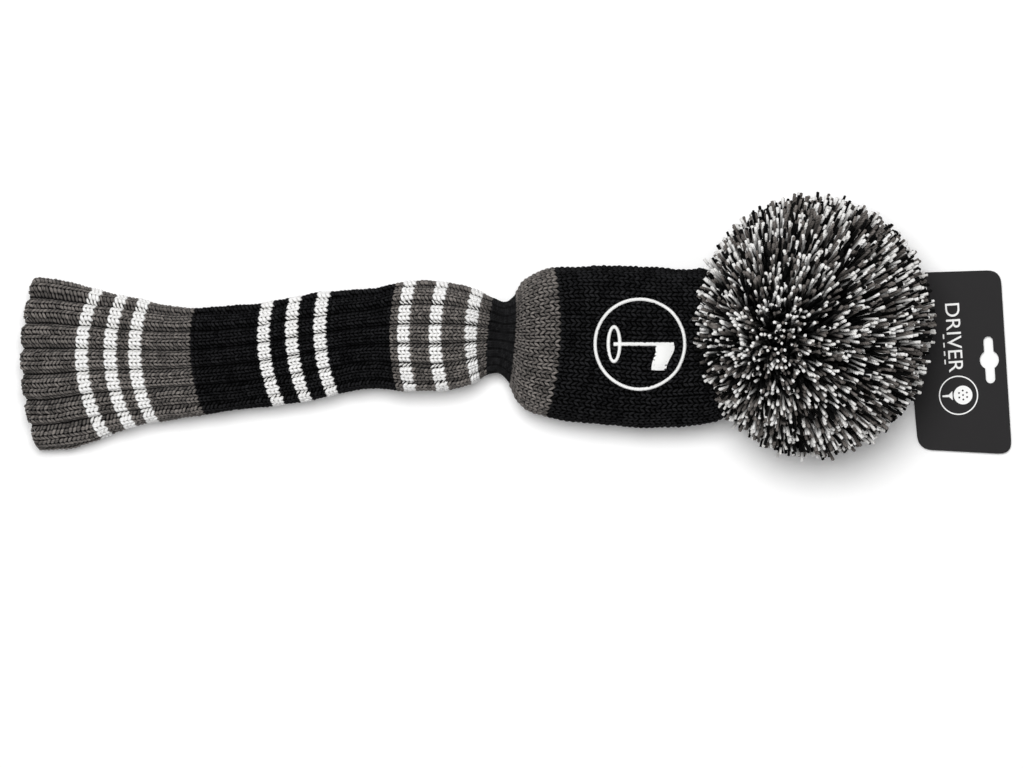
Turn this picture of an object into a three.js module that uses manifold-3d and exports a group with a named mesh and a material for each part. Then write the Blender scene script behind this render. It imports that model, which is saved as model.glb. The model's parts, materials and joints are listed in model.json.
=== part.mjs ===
// Knitted driver head cover lying flat: sleeve to -X, head, pom-pom and hang card to +X.
// Millimetres, +Z up from the surface it lies on.
import * as THREE from "three";
import { mergeVertices } from "three/addons/utils/BufferGeometryUtils.js";
import Module from "manifold-3d";

// Knitted tube
const WALL = 3; // thickness of the knit
const RIB_DEPTH = 1.3; // how far the purl channels sink
const POINTS = 28; // around the tube: a crest and a channel for each of 14 ribs
const GAP = 0.3; // clearance between neighbouring pieces
const ROUND_TOP = 2.3; // how square the upper and lower halves of a section are
const ROUND_BELOW = 2.8;
const CAP_START = 104; // the crown closes from here on
const CAP_LENGTH = 38.4;
const CROWN_END = 142.2;

// x, centre y, half width, half height, bow and skew of the courses
const PROFILE = [
  [-282, -22.5, 50.2, 12, 7.8, -1.4],
  [-268, -22.3, 48.9, 13, 9.6, -1.8],
  [-256, -21.8, 45.4, 14, 11.2, -2.2],
  [-240, -21, 40.2, 15.5, 9.5, -2.4],
  [-220, -20.8, 35.6, 16.5, 7, -2.6],
  [-188, -20.5, 30.8, 17, 4.2, -2.8],
  [-150, -17, 29.8, 17, 4.4, -3.2],
  [-122, -12.4, 30, 17, 4.5, -3],
  [-96, -8.3, 28.6, 17, 3.8, -1.5],
  [-82, -7, 28.6, 17.5, 3.5, -0.8],
  [-68, -6.3, 31, 20, 3.5, 0],
  [-46, -6.3, 31.2, 21.5, 4.2, 0],
  [-30, -6, 28, 19.5, 4, 0],
  [-17, -5.8, 22.6, 14.5, 1.5, 2],
  [-8, -6.7, 20.4, 12.5, 0, 1.9],
  [-1, -7.8, 25.4, 14, -1, 1.8],
  [6, -9.1, 34.5, 18.5, -3, 2],
  [20, -9.5, 41, 22, -5.4, 2.3],
  [45, -10.8, 44.3, 23.8, -3.4, 1],
  [75, -12.9, 45.6, 24.5, -1, 0],
  [104, -12.3, 44, 24, 0, 0],
  [143, -10.5, 44, 24, 0, 0],
];

// Yarn colours along the tube: name, where it ends, colour, steps
const HEM = -282;
const GREY = 0x5f5a58;
const BLACK = 0x1b1b1c;
const WHITE = 0xf3f3f1;
const BANDS = [
  ["hem_cuff_grey", -251.1, GREY, 3],
  ["cuff_stripe_1_white", -244, WHITE, 1],
  ["cuff_band_1_grey", -234.3, GREY, 1],
  ["cuff_stripe_2_white", -227.7, WHITE, 1],
  ["cuff_band_2_grey", -218.9, GREY, 1],
  ["cuff_stripe_3_white", -212.3, WHITE, 1],
  ["lower_sleeve_grey", -183.8, GREY, 2],
  ["lower_sleeve_black", -146.5, BLACK, 2],
  ["mid_stripe_1_white", -140.2, WHITE, 1],
  ["mid_band_1_black", -130.5, BLACK, 1],
  ["mid_stripe_2_white", -124.3, WHITE, 1],
  ["mid_band_2_black", -114.6, BLACK, 1],
  ["mid_stripe_3_white", -107.7, WHITE, 1],
  ["upper_sleeve_black", -71.2, BLACK, 3],
  ["upper_sleeve_grey", -67.3, GREY, 1],
  ["top_stripe_1_white", -59.9, WHITE, 1],
  ["top_band_1_grey", -48.5, GREY, 1],
  ["top_stripe_2_white", -41.6, WHITE, 1],
  ["top_band_2_grey", -30.2, GREY, 1],
  ["top_stripe_3_white", -22.8, WHITE, 1],
  ["collar_grey", -16.5, GREY, 1],
];
const NECK_END = -0.6;
const HEAD_BAND_END = 24.5;
const HEAD_STEPS = [40, 60, 82, 104, 116, 126, 133, 138, 141, CROWN_END];

// Inside the neck and head
const ELASTIC = { from: -13.5, to: -3, outer: WALL + 0.8, inner: WALL + 2 };
const LINING = { from: 8, to: 116.8, outer: 3.6, inner: 5.6, capStart: 84, capLength: 33 };
const LINING_STEPS = [8, 16, 28, 50, 84, 98, 108, 114, 116.8];
const BUTTON = { x: 134.2, radius: 6.5, thickness: 2.4, hole: 1.9 };
const TIE = { y: -10.5, z: 24, thread: 1.5, knot: 3, wrap: 5.2 };

// Badge on top of the head
const BADGE = { x: 69.6, y: -11, outer: 26, line: 1.8, lift: 0.5, height: 1.2, pin: 1.8 };

// Pom-pom
const POM = { x: 168, y: 0, z: 52, halfX: 67, halfY: 73.4, up: 64, down: 58 };
const CARD_ROOM = { from: 202, top: 2.8 }; // space under the pom-pom for the card to swing
const POM_LOWER_ROUND = 3.5;

// Hang card and its pin
const CARD_CORNERS = [
  [285.3, -73.9],
  [278.7, 32.2],
  [222.6, 30.4],
  [231.4, -71],
];
const CARD = { corner: 8, thickness: 0.6, bottom: 1.4 };
const SLOT = { x: 272.3, y: -19.5, turn: 3.7, length: 27, slit: 5.5, circle: 11 };
const PIN = { x: 229.5, y: -19, shaft: 0.7, bar: 0.6, barLength: 7, top: 18, hole: 1.2 };

const wasm = await Module();
wasm.setup();

const object = new THREE.Group();

function add(name, geometry, colour, roughness = 0.95) {
  const material = new THREE.MeshStandardMaterial({ color: colour, roughness, metalness: 0 });
  const mesh = new THREE.Mesh(geometry, material);
  mesh.name = name;
  object.add(mesh);
}

function solid(geometry) {
  const bare = geometry.clone();
  bare.deleteAttribute("normal");
  bare.deleteAttribute("uv");
  const merged = mergeVertices(bare, 1e-3);
  const mesh = new wasm.Mesh({
    numProp: 3,
    vertProperties: merged.attributes.position.array,
    triVerts: new Uint32Array(merged.index.array),
  });
  return new wasm.Manifold(mesh);
}

function geometryOf(manifold) {
  const mesh = manifold.getMesh();
  const geometry = new THREE.BufferGeometry();
  geometry.setAttribute("position", new THREE.BufferAttribute(mesh.vertProperties, mesh.numProp));
  geometry.setIndex(new THREE.BufferAttribute(mesh.triVerts, 1));
  geometry.computeVertexNormals();
  return geometry;
}

const profileCurve = new THREE.CubicInterpolant(
  PROFILE.map((row) => row[0]),
  PROFILE.flatMap((row) => row.slice(1)),
  5,
);

// Size of the tube at x, for a surface sunk by inset into it
function profileAt(x, inset, capStart = CAP_START, capLength = CAP_LENGTH) {
  const [y, halfWidth, halfHeight, bow, skew] = profileCurve.evaluate(x);
  const past = Math.max(0, x - capStart) / (capLength - inset);
  const taper = Math.sqrt(Math.max(0, 1 - past * past));
  const half = { width: (halfWidth - inset) * taper, height: (halfHeight - inset) * taper };
  return { y, z: halfHeight, half, full: halfWidth, bow, skew };
}

// Points at equal distances round a section, counter-clockwise seen from +X
function section(x, inset, { ribs = 0, points = POINTS, capStart, capLength } = {}) {
  const { y, z, half, full, bow, skew } = profileAt(x, inset, capStart, capLength);
  const corner = (angle, sunk) => {
    const c = Math.cos(angle);
    const s = Math.sin(angle);
    const power = 2 / (s > 0 ? ROUND_TOP : ROUND_BELOW);
    const across = Math.sign(c) * Math.abs(c) ** power * (half.width - sunk);
    const up = Math.sign(s) * Math.abs(s) ** power * (half.height - sunk);
    const side = across / full;
    return new THREE.Vector3(x + bow * side * side + skew * side, y + across, z + up);
  };
  const fine = 720;
  const lengths = [0];
  let last = corner(0, 0);
  for (let i = 1; i <= fine; i += 1) {
    const next = corner((i / fine) * 2 * Math.PI, 0);
    lengths.push(lengths[i - 1] + Math.hypot(next.y - last.y, next.z - last.z));
    last = next;
  }
  const ring = [];
  let at = 0;
  for (let k = 0; k < points; k += 1) {
    const wanted = (lengths[fine] * k) / points;
    while (lengths[at + 1] < wanted) at += 1;
    const share = (wanted - lengths[at]) / (lengths[at + 1] - lengths[at]);
    const sunk = k % 2 ? ribs : 0;
    ring.push(corner(((at + share) / fine) * 2 * Math.PI, sunk));
  }
  return ring;
}

// Closed skin over rings of equal size; the last ring joins the first, or both ends get a cap
function skin(rings, closed) {
  const size = rings[0].length;
  const vertices = rings.flat();
  const faces = [];
  const quads = (a, b) => {
    for (let k = 0; k < size; k += 1) {
      const next = (k + 1) % size;
      faces.push([a * size + k, b * size + next, b * size + k]);
      faces.push([a * size + k, a * size + next, b * size + next]);
    }
  };
  for (let i = 0; i + 1 < rings.length; i += 1) quads(i, i + 1);
  if (closed) {
    quads(rings.length - 1, 0);
  } else {
    for (const [end, turned] of [[0, true], [rings.length - 1, false]]) {
      const middle = new THREE.Vector3();
      rings[end].forEach((point) => middle.add(point));
      vertices.push(middle.divideScalar(size));
      for (let k = 0; k < size; k += 1) {
        const edge = [end * size + k, end * size + ((k + 1) % size)];
        faces.push([vertices.length - 1, ...(turned ? edge.reverse() : edge)]);
      }
    }
  }
  const geometry = new THREE.BufferGeometry().setFromPoints(vertices);
  geometry.setIndex(faces.flat());
  geometry.computeVertexNormals();
  return geometry;
}

// Open ring of fabric through the stations xs, between two insets
function band(xs, outer, inner, options = {}) {
  const start = options.capStart ?? CAP_START;
  const length = options.capLength ?? CAP_LENGTH;
  const moved = (x, inset) => {
    if (x <= start) return x;
    return start + ((x - start) * (length - inset)) / length;
  };
  const outside = xs.map((x) => section(moved(x, outer), outer, options));
  const plain = { ...options, ribs: 0 };
  const inside = xs.map((x) => section(moved(x, inner), inner, plain)).reverse();
  return skin([...outside, ...inside], true);
}

function stations(from, to, steps) {
  return Array.from({ length: steps + 1 }, (_, i) => from + ((to - from) * i) / steps);
}

// Solid filling the head up to the crown, grown by a clearance
function headPlug(grown) {
  const xs = [10, 20, 32, 45, 60, 75, 90, CAP_START, 116, 126, 133, 138, 141.5];
  const length = CAP_LENGTH + grown;
  const moved = (x) => (x <= CAP_START ? x : CAP_START + ((x - CAP_START) * length) / CAP_LENGTH);
  return solid(skin(xs.map((x) => section(moved(x), -grown)), false));
}

function cylinder(radius, height, segments = 24) {
  return new THREE.CylinderGeometry(radius, radius, height, segments).rotateX(Math.PI / 2);
}

// Sleeve
let from = HEM;
for (const [name, to, colour, steps] of BANDS) {
  const xs = stations(from + GAP / 2, to - GAP / 2, steps);
  add(name, band(xs, 0, WALL, { ribs: RIB_DEPTH }), colour);
  from = to;
}

// Neck and head
add("neck_rib_black", band(stations(from + GAP / 2, NECK_END - GAP / 2, 3), 0, WALL), BLACK);
const elasticSteps = stations(ELASTIC.from, ELASTIC.to, 2);
add("neck_elastic", band(elasticSteps, ELASTIC.outer, ELASTIC.inner), 0x202020, 0.8);
add("head_band_grey", band(stations(NECK_END + GAP / 2, HEAD_BAND_END - GAP / 2, 4), 0, WALL), GREY);
add("head_body_black", band([HEAD_BAND_END + GAP / 2, ...HEAD_STEPS], 0, WALL), BLACK);
const pocket = { capStart: LINING.capStart, capLength: LINING.capLength, points: 24 };
add("head_lining", band(LINING_STEPS, LINING.outer, LINING.inner, pocket), 0x3a3838);

// Badge: the part of a shell over the head that a flat outline cuts out
const shell = headPlug(BADGE.lift + BADGE.height).subtract(headPlug(BADGE.lift));
const upper = solid(new THREE.BoxGeometry(90, 90, 60).translate(BADGE.x, BADGE.y, 60));

function embroidered(...shapes) {
  const raised = shapes.map((shape) => {
    const prism = new THREE.ExtrudeGeometry(shape, { depth: 60, bevelEnabled: false, curveSegments: 16 });
    return solid(prism.rotateZ(-Math.PI / 2).translate(BADGE.x, BADGE.y, 10));
  });
  const joined = raised.reduce((sum, piece) => sum.add(piece));
  return geometryOf(joined.intersect(shell).intersect(upper));
}

const ring = new THREE.Shape().absarc(0, 0, BADGE.outer, 0, 2 * Math.PI);
ring.holes.push(new THREE.Path().absarc(0, 0, BADGE.outer - BADGE.line, 0, 2 * Math.PI, true));
add("badge_ring", embroidered(ring), WHITE, 0.6);

// A waving flag on its pin in the hole, upright towards the crown
const hole = new THREE.Shape().absellipse(0, -14.5, 10.5, 4, 0, 2 * Math.PI);
hole.holes.push(new THREE.Path().absellipse(0, -14.5, 8.9, 2.4, 0, 2 * Math.PI, true));
const pin = new THREE.Shape();
pin.moveTo(-BADGE.pin / 2, -14.5);
pin.lineTo(BADGE.pin / 2, -14.5);
pin.lineTo(BADGE.pin / 2, 19);
pin.lineTo(-BADGE.pin / 2, 19);
const flag = new THREE.Shape();
flag.moveTo(0, 19);
flag.bezierCurveTo(5, 20.5, 9, 14.5, 15.5, 14.5);
flag.quadraticCurveTo(12.5, 10.5, 14.5, 6.5);
flag.bezierCurveTo(9, 6, 5, 10.5, 0, 8);
add("badge_emblem", embroidered(hole, pin, flag), WHITE, 0.6);

// Tie that holds the pom-pom, knotted behind a button inside the crown
const tieOutline = [
  [0, 129.4],
  [TIE.knot * 0.8, 130],
  [TIE.knot, 131.2],
  [TIE.thread, 132.4],
  [TIE.thread, 143.4],
  [TIE.wrap * 0.8, 144.6],
  [TIE.wrap, 147],
  [TIE.wrap * 0.8, 149.4],
  [0, 150.6],
].map(([radius, x]) => new THREE.Vector2(radius, x));
const tie = new THREE.LatheGeometry(tieOutline, 16);
add("pom_tie", tie.rotateZ(-Math.PI / 2).translate(0, TIE.y, TIE.z), BLACK);

const disc = solid(cylinder(BUTTON.radius, BUTTON.thickness));
const threadHole = solid(cylinder(BUTTON.hole, 3 * BUTTON.thickness, 16));
const button = geometryOf(disc.subtract(threadHole)).rotateY(Math.PI / 2);
add("crown_button", button.translate(BUTTON.x, TIE.y, TIE.z), 0x1d1d1d, 0.5);

// Pom-pom: a soft mound of yarn ends, hollowed where the crown, the tie and the pin sit
function pomShape() {
  const ball = new THREE.SphereGeometry(1, 30, 20).rotateX(Math.PI / 2);
  const points = ball.attributes.position;
  const at = new THREE.Vector3();
  for (let i = 0; i < points.count; i += 1) {
    at.fromBufferAttribute(points, i);
    const flat = Math.hypot(at.x, at.y);
    const tuft = 1 - 0.02 * (1 + Math.sin(9 * Math.atan2(at.y, at.x)) * Math.cos(11 * at.z)) * flat;
    const lower = at.z < 0 ? (1 - Math.abs(at.z) ** POM_LOWER_ROUND) ** (1 / POM_LOWER_ROUND) : flat;
    const spread = flat > 1e-6 ? lower / flat : 0;
    const height = at.z * (at.z < 0 ? POM.down : POM.up);
    points.setXYZ(
      i,
      at.x * spread * tuft * POM.halfX,
      at.y * spread * tuft * POM.halfY,
      height * (0.98 + 0.02 * tuft),
    );
  }
  return ball.translate(POM.x, POM.y, POM.z);
}

const floorCut = new THREE.BoxGeometry(300, 300, 100).translate(POM.x, POM.y, -50);
const cardRoom = new THREE.BoxGeometry(100, 200, 100).translate(CARD_ROOM.from + 50, 0, CARD_ROOM.top - 50);
const tieRoom = cylinder(TIE.wrap + 1.4, 30).rotateY(Math.PI / 2).translate(138, TIE.y, TIE.z);
const pinRoom = cylinder(PIN.barLength / 2 + 1, PIN.top + 4).translate(PIN.x, PIN.y, PIN.top / 2);
const pom = solid(pomShape())
  .subtract(solid(floorCut))
  .subtract(solid(cardRoom))
  .subtract(headPlug(1))
  .subtract(solid(tieRoom))
  .subtract(solid(pinRoom));
add("pom_pom", geometryOf(pom), 0x4b4745);

// Hang card with rounded corners, a slot to hang it by and a hole for the pin
function cardOutline() {
  const shape = new THREE.Shape();
  const corners = CARD_CORNERS.map(([x, y]) => new THREE.Vector2(x, y));
  corners.forEach((corner, i) => {
    const before = corners[(i + 3) % 4].clone().sub(corner).setLength(CARD.corner).add(corner);
    const after = corners[(i + 1) % 4].clone().sub(corner).setLength(CARD.corner).add(corner);
    if (i === 0) shape.moveTo(before.x, before.y);
    else shape.lineTo(before.x, before.y);
    shape.quadraticCurveTo(corner.x, corner.y, after.x, after.y);
  });
  return shape;
}

function slotOutline() {
  const end = (SLOT.length - SLOT.slit) / 2;
  const radius = SLOT.slit / 2;
  const start = Math.asin(SLOT.slit / SLOT.circle);
  const shape = new THREE.Shape();
  shape.absarc(0, end, radius, 0, Math.PI);
  shape.absarc(0, 0, SLOT.circle / 2, Math.PI / 2 + start, 1.5 * Math.PI - start);
  shape.absarc(0, -end, radius, Math.PI, 2 * Math.PI);
  shape.absarc(0, 0, SLOT.circle / 2, start - Math.PI / 2, Math.PI / 2 - start);
  return shape;
}

const plate = { depth: CARD.thickness, bevelEnabled: false, curveSegments: 6 };
const through = { depth: 20, bevelEnabled: false, curveSegments: 8 };
const cardPlate = new THREE.ExtrudeGeometry(cardOutline(), plate).translate(0, 0, CARD.bottom);
const slotCut = new THREE.ExtrudeGeometry(slotOutline(), through)
  .rotateZ(THREE.MathUtils.degToRad(SLOT.turn))
  .translate(SLOT.x, SLOT.y, -10);
const pinCut = cylinder(PIN.hole, 20, 12).translate(PIN.x, PIN.y, 0);
const card = solid(cardPlate).subtract(solid(slotCut)).subtract(solid(pinCut));
add("hang_card", geometryOf(card), 0x333131, 0.75);

// Plastic tag pin: a bar under the card, a shaft, and a bar held in the yarn
const bars = [PIN.bar, PIN.top - PIN.bar].map((z) =>
  solid(cylinder(PIN.bar, PIN.barLength, 10).rotateX(Math.PI / 2).translate(PIN.x, PIN.y, z)),
);
const shaft = solid(cylinder(PIN.shaft, PIN.top - 1.2, 10).translate(PIN.x, PIN.y, PIN.top / 2));
add("tag_pin", geometryOf(shaft.add(bars[0]).add(bars[1])), 0xe6e6e4, 0.4);

export default object;
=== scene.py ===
import json
import math

import bpy
import numpy as np
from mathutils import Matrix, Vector
from mathutils.kdtree import KDTree


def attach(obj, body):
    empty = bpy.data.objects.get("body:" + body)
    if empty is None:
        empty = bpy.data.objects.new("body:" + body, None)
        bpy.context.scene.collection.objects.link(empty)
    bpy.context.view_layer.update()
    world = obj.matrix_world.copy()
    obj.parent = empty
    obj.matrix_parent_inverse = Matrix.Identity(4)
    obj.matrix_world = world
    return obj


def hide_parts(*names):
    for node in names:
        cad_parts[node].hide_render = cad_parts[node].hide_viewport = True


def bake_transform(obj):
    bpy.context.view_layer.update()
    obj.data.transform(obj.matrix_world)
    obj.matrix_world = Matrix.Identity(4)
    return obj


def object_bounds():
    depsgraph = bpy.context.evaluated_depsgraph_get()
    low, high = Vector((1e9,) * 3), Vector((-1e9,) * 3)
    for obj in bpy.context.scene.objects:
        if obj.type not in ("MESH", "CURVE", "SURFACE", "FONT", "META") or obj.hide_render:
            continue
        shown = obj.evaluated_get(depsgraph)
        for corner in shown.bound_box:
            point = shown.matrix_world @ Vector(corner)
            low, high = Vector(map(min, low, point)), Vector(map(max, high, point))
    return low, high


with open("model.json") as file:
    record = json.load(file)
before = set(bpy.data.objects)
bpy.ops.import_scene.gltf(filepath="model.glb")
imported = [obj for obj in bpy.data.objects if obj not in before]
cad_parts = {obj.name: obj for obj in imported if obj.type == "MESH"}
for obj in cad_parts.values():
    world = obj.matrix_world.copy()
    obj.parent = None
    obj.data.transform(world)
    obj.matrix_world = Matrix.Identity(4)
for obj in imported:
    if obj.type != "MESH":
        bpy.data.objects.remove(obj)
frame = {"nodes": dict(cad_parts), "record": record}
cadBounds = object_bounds()
mm = 0.001
print("frame loaded")

# Camera, straight down on the cover, and a plain studio
studio = {
    "aside": (-3.75 * mm, -32.7 * mm),  # middle of the view from the middle of the cover
    "across": 583.7 * mm,              # width seen at the level of the fabric
    "level": 20 * mm,
    "above": 2.0,
    "sensor": 36,
    "floor": 30.0,
    "world": 0.25,
    "keyPlace": (-0.12, 0.34, 1.85),
    "keySize": 0.9,
    "keyPower": 29.5,
    "topPlace": (0.1, -0.1, 2.4),
    "topSize": 2.2,
    "topPower": 5,
}


def aimed(place, target):
    return (Vector(target) - Vector(place)).to_track_quat("-Z", "Y").to_euler()


def makeStudio():
    low, high = cadBounds
    middle = [(low[i] + high[i]) / 2 + studio["aside"][i] for i in (0, 1)]
    data = bpy.data.cameras.new("camera")
    camera = bpy.data.objects.new("camera", data)
    bpy.context.collection.objects.link(camera)
    camera.location = (middle[0], middle[1], studio["above"])
    data.sensor_width = studio["sensor"]
    data.lens = studio["sensor"] * (studio["above"] - studio["level"]) / studio["across"]
    data.clip_end = 50
    bpy.context.scene.camera = camera
    for label, shape in (("key", "DISK"), ("top", "SQUARE")):
        light = bpy.data.lights.new(label, "AREA")
        light.shape = shape
        light.size = studio[label + "Size"]
        light.energy = studio[label + "Power"]
        lamp = bpy.data.objects.new(label, light)
        bpy.context.collection.objects.link(lamp)
        lamp.location = studio[label + "Place"]
        lamp.rotation_euler = aimed(lamp.location, (0, 0, 0))
    world = bpy.data.worlds.new("studio")
    bpy.context.scene.world = world
    world.use_nodes = True
    background = world.node_tree.nodes["Background"]
    background.inputs["Color"].default_value = (1, 1, 1, 1)
    background.inputs["Strength"].default_value = studio["world"]
    bpy.context.scene.view_settings.view_transform = "Standard"


makeStudio()


# Shader building: a Field is one socket, and arithmetic on it adds Math nodes
class Field:
    def __init__(self, finish, socket):
        self.finish = finish
        self.socket = socket

    def maths(self, operation, *values):
        return self.finish.node("ShaderNodeMath", {"operation": operation}, values)

    def __add__(self, other):
        return self.maths("ADD", self, other)

    __radd__ = __add__

    def __sub__(self, other):
        return self.maths("SUBTRACT", self, other)

    def __rsub__(self, other):
        return self.maths("SUBTRACT", other, self)

    def __mul__(self, other):
        return self.maths("MULTIPLY", self, other)

    __rmul__ = __mul__

    def sine(self):
        return self.maths("SINE", self)

    def clipped(self):
        return self.maths("MINIMUM", self.maths("MAXIMUM", self, 0.0), 1.0)


def colour(text):
    # linear colour from the usual six-digit code
    parts = [level / 255 for level in bytes.fromhex(text)]
    return tuple(((p + 0.055) / 1.055) ** 2.4 if p > 0.04 else p / 12.92 for p in parts) + (1,)


class Finish:
    def __init__(self, name, **settings):
        self.material = bpy.data.materials.new(name)
        self.material.use_nodes = True
        self.nodes = self.material.node_tree.nodes
        self.links = self.material.node_tree.links
        self.shader = self.nodes["Principled BSDF"]
        for label, value in settings.items():
            self.shader.inputs[label.replace("_", " ")].default_value = value

    def feed(self, socket, value):
        if isinstance(value, Field):
            self.links.new(value.socket, socket)
        else:
            socket.default_value = value

    def node(self, kind, settings=None, values=(), out=0):
        made = self.nodes.new(kind)
        for label, value in (settings or {}).items():
            setattr(made, label, value)
        pairs = values.items() if isinstance(values, dict) else enumerate(values)
        for key, value in pairs:
            self.feed(made.inputs[key], value)
        return Field(self, made.outputs[out])

    def set(self, label, value):
        self.feed(self.shader.inputs[label], value)

    def place(self):
        return self.node("ShaderNodeTexCoord", out="Object")

    def attribute(self, name, out="Fac"):
        return self.node("ShaderNodeAttribute", {"attribute_name": name}, out=out)

    def noise(self, scale, detail, roughness=0.5):
        values = {"Vector": self.place(), "Scale": scale, "Detail": detail, "Roughness": roughness}
        return self.node("ShaderNodeTexNoise", {}, values, "Fac")

    def mixed(self, factor, first, second):
        return self.node("ShaderNodeMix", {"data_type": "RGBA"}, {0: factor, 6: first, 7: second}, 2)

    def bump(self, height, distance, strength):
        values = {"Height": height, "Distance": distance, "Strength": strength}
        self.set("Normal", self.node("ShaderNodeBump", {}, values, "Normal"))


# Yarn: plies twisted together, a tone of its own for each stitch, fibres, and painted shade down in the gaps
# and towards the roots of cut ends
yarnLook = {
    "cloudScale": 90, "fibreScale": 1800, "fibreRoughness": 0.65,
    "tone": 0.45, "cloud": 0.5, "fibre": 0.55, "ply": 0.3, "darker": 0.45,  # shares in light and dark
    "gapFrom": 2.1, "gapFade": 2.4,  # how far up the loops the painted shade of the gaps reaches
    # root is the colour of the painted shade at the deep end of a cut strand, rootFade how fast it gives way
    "root": "030303", "rootFade": 2.4,
    "rough": 0.7, "roughSpread": 0.25,
    "plyBump": 0.8, "fibreBump": 0.7, "bump": 0.35 * mm, "bumpStrength": 0.9,
}


def yarn(name, dark, light, gapShade=None, sheen=0.1, shine=0.12, twists=2.2, plies=3, litFrom=None):
    finish = Finish(name, Sheen_Weight=sheen, Sheen_Roughness=0.6, Specular_IOR_Level=shine)
    run = finish.attribute("yarnUv", "Vector")
    around, along = (finish.node("ShaderNodeSeparateXYZ", {}, [run], i) for i in (0, 1))
    ply = ((around * plies + along * twists) * (2 * math.pi)).sine() * 0.5 + 0.5
    tone = finish.attribute("yarnTone")
    look = yarnLook
    cloud = finish.noise(look["cloudScale"], 2)
    fibre = finish.noise(look["fibreScale"], 3, look["fibreRoughness"])
    level = tone * look["tone"] + cloud * look["cloud"] + fibre * look["fibre"] + ply * look["ply"]
    base = finish.mixed((level - look["darker"]).clipped(), colour(dark), colour(light))
    if gapShade:
        # painted shade: the colour darkens towards the gap colour where the loops lie low between stitches
        gapShading = look["gapFrom"] - finish.attribute("yarnHeight") * look["gapFade"]
        base = finish.mixed(gapShading.clipped(), base, colour(gapShade))
    if litFrom is not None:  # painted shade, near black, towards the inner root of a cut end
        lit = ((along - litFrom) * look["rootFade"]).clipped()
        base = finish.mixed(1 - lit, base, colour(look["root"]))
    finish.set("Base Color", base)
    finish.set("Roughness", (fibre * look["roughSpread"] + look["rough"]).clipped())
    finish.bump(ply * look["plyBump"] + fibre * look["fibreBump"], look["bump"], look["bumpStrength"])
    return finish.material


# the gap colour is painted shade in the depths between stitches, and litFrom is where the painted shade on a
# cut end ends and it comes out into the light
greyYarn = yarn("grey_yarn", "2d2a28", "9c9590", gapShade="000000")
blackYarn = yarn("black_yarn", "060607", "2e2e30", gapShade="000000", sheen=0.0, shine=0.03)
whiteYarn = yarn("white_yarn", "f4f3f2", "ffffff", gapShade="e2e1de")
# fabric behind the stitches: darker copies of each yarn, painted shade for the depth behind the loops
greyBackShaded = yarn("grey_yarn_back_shaded", "0c0b0b", "191716", sheen=0, shine=0.03)
blackBackShaded = yarn("black_yarn_back_shaded", "020202", "060606", sheen=0, shine=0.03)
whiteBackShaded = yarn("white_yarn_back_shaded", "1b1a19", "3a3836", sheen=0, shine=0.03)
neckYarn = yarn("neck_yarn", "070708", "39393b", gapShade="000000", sheen=0.0, shine=0.08)
cutEnd = {"twists": 9, "plies": 2}
endsBlack = yarn("pom_yarn_black", "030303", "161616", sheen=0.0, shine=0.05, litFrom=0.4, **cutEnd)
endsGrey = yarn("pom_yarn_grey", "36322f", "8d8783", sheen=0.03, litFrom=0.5, **cutEnd)
endsWhite = yarn("pom_yarn_white", "e2e0dc", "ffffff", sheen=0.05, litFrom=0.5, **cutEnd)
tieYarn = yarn("tie_yarn", "0a0a0b", "2a2a2c", twists=4, plies=2)


# Moulded, printed or fleecy surface: soft clouds of tone and a fine grain
plainLook = {
    "cloudScale": 35, "grainRoughness": 0.6, "cloud": 0.6, "grain": 0.4,
    "roughGrain": 0.2, "roughCloud": 0.1, "roughMiddle": 0.15, "bumpStrength": 0.7,
}


def plainFinish(name, dark, light, rough, scale, depth, **settings):
    finish, look = Finish(name, **settings), plainLook
    cloud = finish.noise(look["cloudScale"], 3)
    grain = finish.noise(scale, 4, look["grainRoughness"])
    level = (cloud * look["cloud"] + grain * look["grain"]).clipped()
    finish.set("Base Color", finish.mixed(level, colour(dark), colour(light)))
    uneven = grain * look["roughGrain"] + cloud * look["roughCloud"]
    finish.set("Roughness", (uneven + rough - look["roughMiddle"]).clipped())
    finish.bump(grain, depth, look["bumpStrength"])
    return finish.material


cardFinish = plainFinish("dark_card", "232223", "2d2c2d", 0.7, 1400, 0.05 * mm, Specular_IOR_Level=0.15)
inkFinish = plainFinish("card_ink", "efefed", "ffffff", 0.6, 1100, 0.02 * mm)
threadFinish = plainFinish("embroidery_thread", "e6e6e4", "ffffff", 0.45, 2500, 0.05 * mm)
plasticFinish = plainFinish("black_plastic", "141414", "222222", 0.4, 900, 0.04 * mm)
pinFinish = plainFinish("clear_plastic", "d8d8d6", "eeeeec", 0.3, 700, 0.03 * mm)
fleeceFinish = plainFinish("fleece", "2c2a2a", "454242", 0.95, 1600, 0.5 * mm)
elasticFinish = plainFinish("elastic", "151515", "2a2a2a", 0.7, 1800, 0.2 * mm)


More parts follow.
